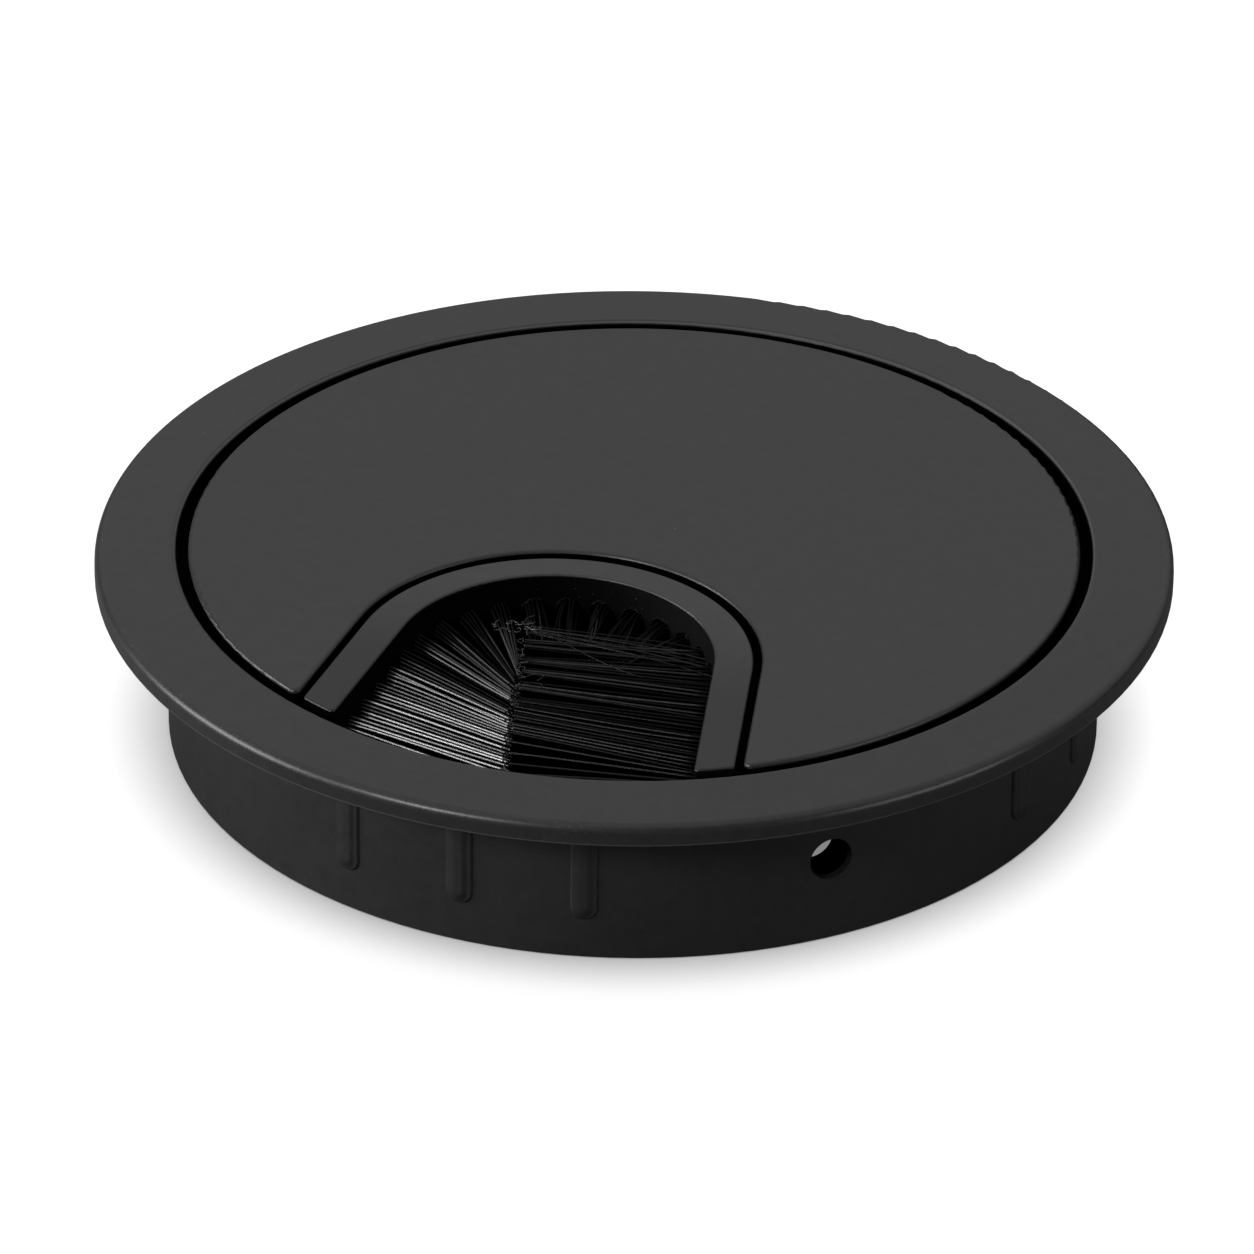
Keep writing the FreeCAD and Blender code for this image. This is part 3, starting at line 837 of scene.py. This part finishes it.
class GROMMET_OT_dress_lid(bpy.types.Operator):
    """Give the drop-in lid its moulded plastic"""
    bl_idname = "grommet.dress_lid"
    bl_label = "Finish the lid"
    bl_options = {"REGISTER", "UNDO"}

    def execute(self, context):
        plastic = moulded_plastic("lid_plastic", context.scene.grommet.plastic,
                                  painted_shade_mask=lid_gap_painted_shade, rim=lid_rim)
        dress(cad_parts["lid"], plastic)
        return {"FINISHED"}


class GROMMET_OT_dress_frame(bpy.types.Operator):
    """Give the U-shaped brush frame its moulded plastic"""
    bl_idname = "grommet.dress_frame"
    bl_label = "Finish the brush frame"
    bl_options = {"REGISTER", "UNDO"}

    def execute(self, context):
        plastic = moulded_plastic("frame_plastic", context.scene.grommet.plastic,
                                  painted_shade_mask=frame_well_painted_shade, rim=lid_rim, framed=True)
        dress(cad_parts["brush_frame"], plastic)
        return {"FINISHED"}


class GROMMET_OT_plant_bristles(bpy.types.Operator):
    """Plant a bundle of nylon filaments in each hole of the brush frame"""
    bl_idname = "grommet.plant_bristles"
    bl_label = "Plant the bristles"
    bl_options = {"REGISTER", "UNDO"}

    # Shine of a row painted in shade
    SHADED_ROW_SHINE = 0.03

    def execute(self, context):
        settings = context.scene.grommet.brush
        brush = Brush(settings)
        holes, tufts = len(brush.holes), len(TUFT_NODES)
        if holes != tufts:
            raise RuntimeError(f"{holes} tuft holes, but the frame has {tufts} tufts")
        material = nylon("bristle_nylon", settings.colour, settings.roughness)
        chance = random.Random(settings.seed)
        for index, node in enumerate(TUFT_NODES):
            tubes = self.bundle(brush, index, chance)
            piece = tubes.make(node.replace("tuft", "bristles"), material)
            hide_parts(node)
            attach(piece, "root")
        return {"FINISHED"}

    def bundle(self, brush, index, chance):
        """The filaments of one tuft; those of a row sway together and share one painted light or
        shade.
        """
        tubes = Tubes()
        lie = brush.lie(index)
        grow = back_filament if brush.is_back(index) else combed_filament
        rows = {}
        for place in bundle_places(brush.settings.rows, brush.settings.depth):
            row = place[0]
            if row not in rows:
                # Each row is painted lit, or painted in shade with a dull shine
                lit = chance.random() < lie.share
                shine = chance.uniform(0.5, 1) * lie.brightest if lit else self.SHADED_ROW_SHINE
                rows[row] = (shine, scatter(chance, 1))
            shine, sway = rows[row]
            path = grow(brush, index, place, sway, chance)
            # Painted shadow: the shine fades to nothing near the wall over the tuft's painted root
            # shadow
            travels = [(point - path[1]).length for point in path]
            shines = [shine * clamped(travel / lie.dark_root - 0.6) for travel in travels]
            tubes.add(path, brush.settings.filament / 2, shines)
        return tubes


class GROMMET_OT_curl_tips(bpy.types.Operator):
    """Leave curled ends along the seam, a knot of them at its end and a few strays"""
    bl_idname = "grommet.curl_tips"
    bl_label = "Curl the tips"
    bl_options = {"REGISTER", "UNDO"}

    # How many curls, their places along the seam in millimetres, and their numbers of steps
    SEAM_CURLS = ((27, (11.0, 24.5), (4, 8)), (7, (1.5, 11.0), (2, 3)))
    KNOT_CURLS = 14
    KNOT_PLACE = 24.9 * MM
    FANNED_STRAYS = 9

    def execute(self, context):
        settings = context.scene.grommet.brush
        brush = Brush(settings)
        material = nylon("curled_nylon", settings.curl_colour, settings.roughness)
        chance = random.Random(settings.seed + 1)
        curls = Tubes()
        self.curl_seam(curls, brush, chance)
        self.curl_knot(curls, brush, chance)
        strays = Tubes()
        for corners in self.stray_courses(chance):
            path = bezier([Vector(corner) * MM for corner in corners], 16)
            strays.add(path, 0.042 * MM, [chance.uniform(0.12, 0.38)] * len(path))
        for name, tubes in (("curled_tips", curls), ("stray_bristles", strays)):
            piece = tubes.make(name, material)
            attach(piece, "root")
        return {"FINISHED"}

    def curl_seam(self, curls, brush, chance):
        """Curled ends on top of the seam, longer ones in its far half."""
        for many, travels, steps in self.SEAM_CURLS:
            for count in range(many):
                place = brush.mouth + brush.seam * (chance.uniform(*travels) * MM)
                start = place + UP * (0.95 * MM) * chance.uniform(0.75, 1.1)
                path = smoothed(curl(start, steps, 0.16 * MM, 0.6, chance))
                curls.add(path, 0.04 * MM, [chance.uniform(0.22, 0.48)] * len(path))

    def curl_knot(self, curls, brush, chance):
        """A knot of curls where the seam meets the back wall's tufts."""
        knot = brush.mouth + brush.seam * self.KNOT_PLACE + Vector((-0.3, 0.1, 0)) * MM
        for count in range(self.KNOT_CURLS):
            aside = (chance.gauss(0, 0.75), chance.gauss(0, 0.7), chance.uniform(0.9, 1.3))
            path = smoothed(curl(knot + Vector(aside) * MM, (6, 12), 0.2 * MM, 0.4, chance))
            curls.add(path, 0.04 * MM, [chance.uniform(0.28, 0.55)] * len(path))

    def stray_courses(self, chance):
        """Corners of the strays in millimetres: one hair, two loops, a fan from the knot."""
        courses = [
            ((-5.6, -12.3, 14.7), (-2.0, -14.6, 14.9), (1.5, -17.2, 14.75), (5.0, -17.5, 14.4)),
            ((-4.6, -20.4, 14.6), (-3.6, -19.4, 14.9), (-2.4, -19.6, 14.8), (-3.4, -20.5, 14.6)),
            ((-4.7, -21.6, 14.6), (-3.6, -20.9, 14.8), (-1.8, -21.2, 14.8), (-3.2, -22.1, 14.6)),
        ]
        for count in range(self.FANNED_STRAYS):
            fan = count / (self.FANNED_STRAYS - 1) + chance.gauss(0, 0.03)
            rise = 14.75 - chance.uniform(0, 0.4)
            courses.append(((-5.9 + chance.gauss(0, 0.3), -12.0 - fan * 0.9, rise),
                            (-1.0, -12.1 - fan * 1.7 + chance.gauss(0, 0.1), rise + 0.1),
                            (5.0, -11.5 - fan * 3.0 + chance.gauss(0, 0.1), rise),
                            (8.9 + fan * 1.9, -11.4 - fan * 4.2, rise - 0.5)))
        return courses


class GROMMET_OT_leave_shavings(bpy.types.Operator):
    """Leave curled shavings and lint round the tuft holes of the back wall"""
    bl_idname = "grommet.leave_shavings"
    bl_label = "Leave shavings at the holes"
    bl_options = {"REGISTER", "UNDO"}

    SHAVING_ROUGHNESS = 0.4
    SPECKS_PER_HOLE = 6

    def execute(self, context):
        settings = context.scene.grommet.brush
        brush = Brush(settings)
        material = nylon("shaved_plastic", settings.curl_colour, self.SHAVING_ROUGHNESS)
        chance = random.Random(settings.seed + 2)
        tubes = Tubes()
        for index, (place, inward) in enumerate(brush.holes):
            if not brush.is_back(index):
                continue
            for count in range(chance.randint(3, 6)):
                path = smoothed(self.shaving(place, inward, chance), 1)
                tubes.add(path, 0.02 * MM, [chance.uniform(0.04, 0.25)] * len(path))
            for count in range(self.SPECKS_PER_HOLE):
                path = self.speck(place, inward, chance)
                tubes.add(path, 0.028 * MM, [chance.uniform(0.1, 0.5)] * len(path))
        piece = tubes.make("hole_shavings", material)
        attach(piece, "root")
        return {"FINISHED"}

    def shaving(self, place, inward, chance):
        """A thread that lies round the upper edge of a hole."""
        along_wall = UP.cross(inward)
        turn, lift = chance.uniform(0.5, 2.4), chance.uniform(1.06, 1.25)
        path = []
        for step in range(chance.randint(4, 9)):
            spoke = along_wall * math.cos(turn) + UP * math.sin(turn)
            path.append(place + spoke * (lift * MM) + inward * (chance.uniform(0.06, 0.16) * MM))
            turn += 0.13
            lift += chance.gauss(0, 0.05)
        return path

    def speck(self, place, inward, chance):
        """A crumb on the wall above a hole."""
        sideways, rise = chance.uniform(-1.4, 1.4) * MM, chance.uniform(0.4, 2.4) * MM
        crumb = place + UP.cross(inward) * sideways + UP * rise + inward * (0.05 * MM)
        return [crumb, crumb + scatter(chance, 0.05 * MM)]


def direction(azimuth, elevation):
    """From the grommet towards a place given by its angles from the front."""
    level = math.cos(elevation)
    return Vector((math.sin(azimuth) * level, -math.cos(azimuth) * level, math.sin(elevation)))


def aim_camera(studio):
    """The camera at the photograph's angle."""
    turn = studio.azimuth
    back = direction(turn, studio.elevation)
    forward = -back
    right = Vector((math.cos(turn), math.sin(turn), 0))
    upward = right.cross(forward)
    tilted = forward * math.cos(studio.tilt) + upward * math.sin(studio.tilt)
    upward = upward * math.cos(studio.tilt) - forward * math.sin(studio.tilt)
    panned = tilted * math.cos(studio.pan) + right * math.sin(studio.pan)
    right = right * math.cos(studio.pan) - tilted * math.sin(studio.pan)
    rolled = right * math.cos(studio.roll) + upward * math.sin(studio.roll)
    upward = upward * math.cos(studio.roll) - right * math.sin(studio.roll)
    data = bpy.data.cameras.new("photo_camera")
    data.lens = studio.lens
    data.sensor_width = 36
    camera = bpy.data.objects.new("photo_camera", data)
    turned = Matrix((rolled, upward, -panned)).transposed().to_4x4()
    camera.matrix_world = Matrix.Translation(back * studio.distance) @ turned
    bpy.context.scene.collection.objects.link(camera)
    bpy.context.scene.camera = camera


def soft_box(name, azimuth, elevation, size, radiance):
    """A square lamp that faces the grommet, placed by its angles from the front in degrees."""
    data = bpy.data.lights.new(name, "AREA")
    data.shape = "SQUARE"
    data.size = size
    data.energy = radiance * math.pi * size * size
    lamp = bpy.data.objects.new(name, data)
    back = direction(math.radians(azimuth), math.radians(elevation))
    turned = back.to_track_quat("Z", "Y").to_matrix().to_4x4()
    lamp.matrix_world = Matrix.Translation(back * LAMP_DISTANCE) @ turned
    bpy.context.scene.collection.objects.link(lamp)
    return lamp


class GROMMET_OT_build_stage(bpy.types.Operator):
    """Lay the white floor, set the lamps and aim the camera"""
    bl_idname = "grommet.build_stage"
    bl_label = "Build the studio"
    bl_options = {"REGISTER", "UNDO"}

    def execute(self, context):
        studio = context.scene.grommet.studio
        floor = self.lay_floor(studio)
        self.light_sky(studio)
        self.set_lamps(studio, floor)
        aim_camera(studio)
        return {"FINISHED"}

    def lay_floor(self, studio):
        """A wide sheet of paper at the foot of the sleeve."""
        far = FLOOR_REACH
        corners = [(-far, -far, 0), (far, -far, 0), (far, far, 0), (-far, far, 0)]
        mesh = bpy.data.meshes.new("floor")
        mesh.from_pydata(corners, [], [(0, 1, 2, 3)])
        floor = bpy.data.objects.new("floor", mesh)
        bpy.context.scene.collection.objects.link(floor)
        dress(floor, paper_floor(studio))
        return floor

    def set_lamps(self, studio, floor):
        """Four soft boxes that leave out the floor, and one for the bristles alone."""
        unlit = bpy.data.collections.new("without_floor")
        unlit.objects.link(floor)
        unlit.collection_objects[0].light_linking.link_state = "EXCLUDE"
        boxes = (
            ("key_box", -31, 31, 0.4, studio.key),
            ("side_box", -75, 8, 1.0, studio.side),
            ("front_box", 0, 14, 1.0, studio.front),
            ("right_box", 75, 8, 1.0, studio.right),
        )
        for name, azimuth, elevation, size, radiance in boxes:
            lamp = soft_box(name, azimuth, elevation, size, radiance)
            lamp.light_linking.receiver_collection = unlit
        lamp = soft_box("brush_box", -53.4, 33, 0.6, studio.brush_light)
        lamp.light_linking.receiver_collection = nylon_pieces()
        lamp.light_linking.blocker_collection = nylon_pieces()

    def light_sky(self, studio):
        """A wide soft light overhead; the camera sees plain white."""
        world = bpy.data.worlds.new("studio_sky")
        graph = Graph(world)
        towards = graph.node("ShaderNodeTexCoord", output="Generated")
        middle = (0, math.sin(studio.sky_lean), math.cos(studio.sky_lean))
        closeness = graph.node("ShaderNodeVectorMath", {"operation": "DOT_PRODUCT"},
                               {0: towards, 1: middle}, output="Value")
        overhead = closeness.above(0.55, 0.5)
        seen = graph.node("ShaderNodeLightPath", output="Is Camera Ray")
        strength = overhead * studio.sky * (1 - seen) + seen
        white = rgba((1, 1, 1))
        shader = graph.node("ShaderNodeBackground", sockets={"Color": white, "Strength": strength})
        graph.node("ShaderNodeOutputWorld", sockets={"Surface": shader})
        bpy.context.scene.world = world
        bpy.context.scene.view_settings.view_transform = "Standard"


class GROMMET_PT_panel(bpy.types.Panel):
    """The grommet's steps and settings"""
    bl_idname = "GROMMET_PT_panel"
    bl_label = "Brush cable grommet"
    bl_space_type = "VIEW_3D"
    bl_region_type = "UI"
    bl_category = "Grommet"

    def draw(self, context):
        column = self.layout.column()
        for step in STEPS:
            column.operator("grommet." + step)
        for group in ("plastic", "brush", "studio"):
            column.label(text=group.capitalize())
            settings = getattr(context.scene.grommet, group)
            for name in settings.__annotations__:
                column.prop(settings, name)


STEPS = (
    "dress_ring", "dress_lid", "dress_frame",
    "plant_bristles", "curl_tips", "leave_shavings", "build_stage",
)
CLASSES = (
    PlasticSettings, BrushSettings, StudioSettings, GrommetSettings,
    GROMMET_OT_dress_ring, GROMMET_OT_dress_lid, GROMMET_OT_dress_frame,
    GROMMET_OT_plant_bristles, GROMMET_OT_curl_tips, GROMMET_OT_leave_shavings,
    GROMMET_OT_build_stage, GROMMET_PT_panel,
)


def register():
    for kind in CLASSES:
        bpy.utils.register_class(kind)
    bpy.types.Scene.grommet = bpy.props.PointerProperty(type=GrommetSettings)


def unregister():
    del bpy.types.Scene.grommet
    for kind in reversed(CLASSES):
        bpy.utils.unregister_class(kind)


def main():
    """Registers the add-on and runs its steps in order."""
    register()
    for step in STEPS:
        getattr(bpy.ops.grommet, step)()


if __name__ == "__main__":
    main()
